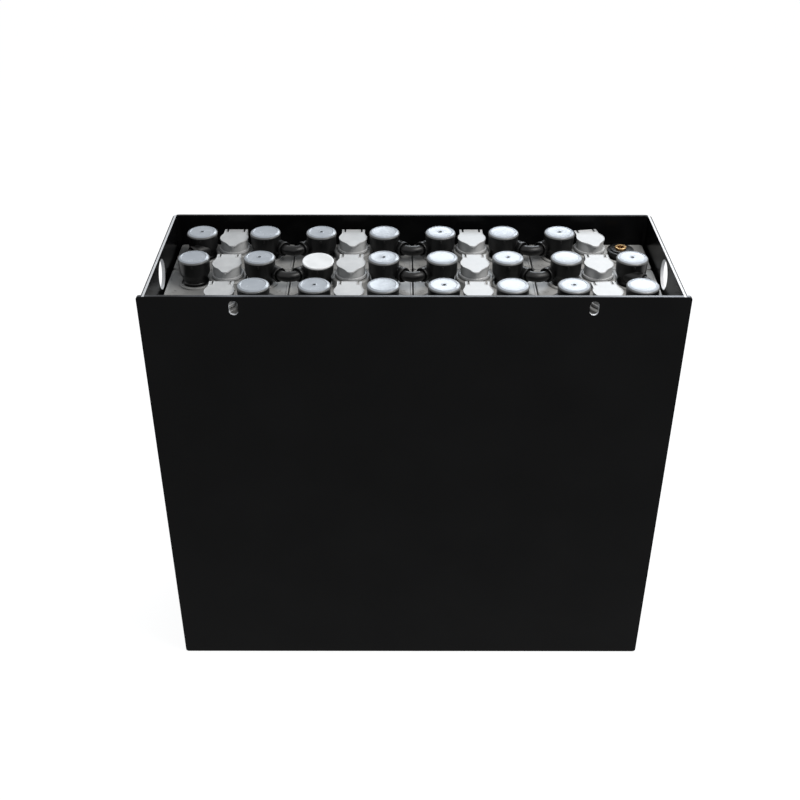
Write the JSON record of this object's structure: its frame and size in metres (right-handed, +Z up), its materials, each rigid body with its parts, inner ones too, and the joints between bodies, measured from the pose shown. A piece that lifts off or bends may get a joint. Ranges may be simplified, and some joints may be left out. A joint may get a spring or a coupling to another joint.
{
  "type": "forklift traction battery",
  "caption": "Wet lead-acid traction battery for a forklift: cells in rows inside an open-topped black steel tray, with flexible bolted links and flip-top vent plugs.",
  "frame": {"origin": "middle of the tray's underside", "axes": "+X along the tray, to the right seen from the front; the front plate faces -Y; +Z up"},
  "size_m": [0.66, 0.237, 0.588],
  "materials": {
    "tray_paint": "semi-gloss black coating",
    "cell_plastic": "satin dark grey moulding",
    "vent_plastic": "satin light grey moulding",
    "link_rubber": "matt black",
    "seal_rubber": "matt black",
    "terminal_brass": "machined",
    "cap_grey": "glossy cool grey",
    "cap_white": "white"
  },
  "bodies": {
    "battery": {"tray_left_end": "tray_paint", "tray_right_end": "tray_paint", "tray_back_wall": "tray_paint", "tray_front_plate": "tray_paint", "tray_floor": "tray_paint", "cell_back_1": "cell_plastic", "vent_plug_back_1": "vent_plastic", "cell_back_2": "cell_plastic", "vent_plug_back_2": "vent_plastic", "cell_back_3": "cell_plastic", "vent_plug_back_3": "vent_plastic", "cell_back_4": "cell_plastic", "vent_plug_back_4": "vent_plastic", "cell_middle_1": "cell_plastic", "vent_plug_middle_1": "vent_plastic", "cell_middle_2": "cell_plastic", "vent_plug_middle_2": "vent_plastic", "cell_middle_3": "cell_plastic", "vent_plug_middle_3": "vent_plastic", "cell_middle_4": "cell_plastic", "vent_plug_middle_4": "vent_plastic", "cell_front_1": "cell_plastic", "vent_plug_front_1": "vent_plastic", "cell_front_2": "cell_plastic", "vent_plug_front_2": "vent_plastic", "cell_front_3": "cell_plastic", "vent_plug_front_3": "vent_plastic", "cell_front_4": "cell_plastic", "vent_plug_front_4": "vent_plastic", "link_back_1_2": "link_rubber", "link_back_2_3": "link_rubber", "link_back_3_4": "link_rubber", "link_middle_1_2": "link_rubber", "link_middle_2_3": "link_rubber", "link_middle_3_4": "link_rubber", "link_front_1_2": "link_rubber", "link_front_2_3": "link_rubber", "link_front_3_4": "link_rubber", "link_back_middle": "link_rubber", "link_middle_front": "link_rubber", "positive_terminal": "terminal_brass", "positive_seal": "seal_rubber", "negative_terminal": "terminal_brass", "negative_seal": "seal_rubber", "bolt_caps": "cap_grey", "white_cap": "cap_white"},
    "lid_back_1": {"flip_lid_back_1": "vent_plastic"},
    "lid_back_2": {"flip_lid_back_2": "vent_plastic"},
    "lid_back_3": {"flip_lid_back_3": "vent_plastic"},
    "lid_back_4": {"flip_lid_back_4": "vent_plastic"},
    "lid_middle_1": {"flip_lid_middle_1": "vent_plastic"},
    "lid_middle_2": {"flip_lid_middle_2": "vent_plastic"},
    "lid_middle_3": {"flip_lid_middle_3": "vent_plastic"},
    "lid_middle_4": {"flip_lid_middle_4": "vent_plastic"},
    "lid_front_1": {"flip_lid_front_1": "vent_plastic"},
    "lid_front_2": {"flip_lid_front_2": "vent_plastic"},
    "lid_front_3": {"flip_lid_front_3": "vent_plastic"},
    "lid_front_4": {"flip_lid_front_4": "vent_plastic"}
  },
  "joints": [
    {"name": "flip_back_1", "type": "hinge", "parent": "battery", "child": "lid_back_1", "pos_m": [-0.23775, 0.0983, 0.569], "axis": [-1, 0, 0], "range_deg": [0, 95]},
    {"name": "flip_back_2", "type": "hinge", "parent": "battery", "child": "lid_back_2", "pos_m": [-0.07925, 0.0983, 0.569], "axis": [-1, 0, 0], "range_deg": [0, 95]},
    {"name": "flip_back_3", "type": "hinge", "parent": "battery", "child": "lid_back_3", "pos_m": [0.07925, 0.0983, 0.569], "axis": [-1, 0, 0], "range_deg": [0, 95]},
    {"name": "flip_back_4", "type": "hinge", "parent": "battery", "child": "lid_back_4", "pos_m": [0.23407, 0.09799, 0.569], "axis": [-0.9863, -0.165, 0], "range_deg": [0, 95]},
    {"name": "flip_middle_1", "type": "hinge", "parent": "battery", "child": "lid_middle_1", "pos_m": [-0.23775, 0.0223, 0.569], "axis": [-1, 0, 0], "range_deg": [0, 95]},
    {"name": "flip_middle_2", "type": "hinge", "parent": "battery", "child": "lid_middle_2", "pos_m": [-0.07925, 0.0223, 0.569], "axis": [-1, 0, 0], "range_deg": [0, 95]},
    {"name": "flip_middle_3", "type": "hinge", "parent": "battery", "child": "lid_middle_3", "pos_m": [0.07925, 0.0223, 0.569], "axis": [-1, 0, 0], "range_deg": [0, 95]},
    {"name": "flip_middle_4", "type": "hinge", "parent": "battery", "child": "lid_middle_4", "pos_m": [0.23775, 0.0223, 0.569], "axis": [-1, 0, 0], "range_deg": [0, 95]},
    {"name": "flip_front_1", "type": "hinge", "parent": "battery", "child": "lid_front_1", "pos_m": [-0.23775, -0.0537, 0.569], "axis": [-1, 0, 0], "range_deg": [0, 95]},
    {"name": "flip_front_2", "type": "hinge", "parent": "battery", "child": "lid_front_2", "pos_m": [-0.07925, -0.0537, 0.569], "axis": [-1, 0, 0], "range_deg": [0, 95]},
    {"name": "flip_front_3", "type": "hinge", "parent": "battery", "child": "lid_front_3", "pos_m": [0.07925, -0.0537, 0.569], "axis": [-1, 0, 0], "range_deg": [0, 95]},
    {"name": "flip_front_4", "type": "hinge", "parent": "battery", "child": "lid_front_4", "pos_m": [0.23503, -0.05387, 0.569], "axis": [-0.9925, -0.1219, 0], "range_deg": [0, 95]}
  ]
}
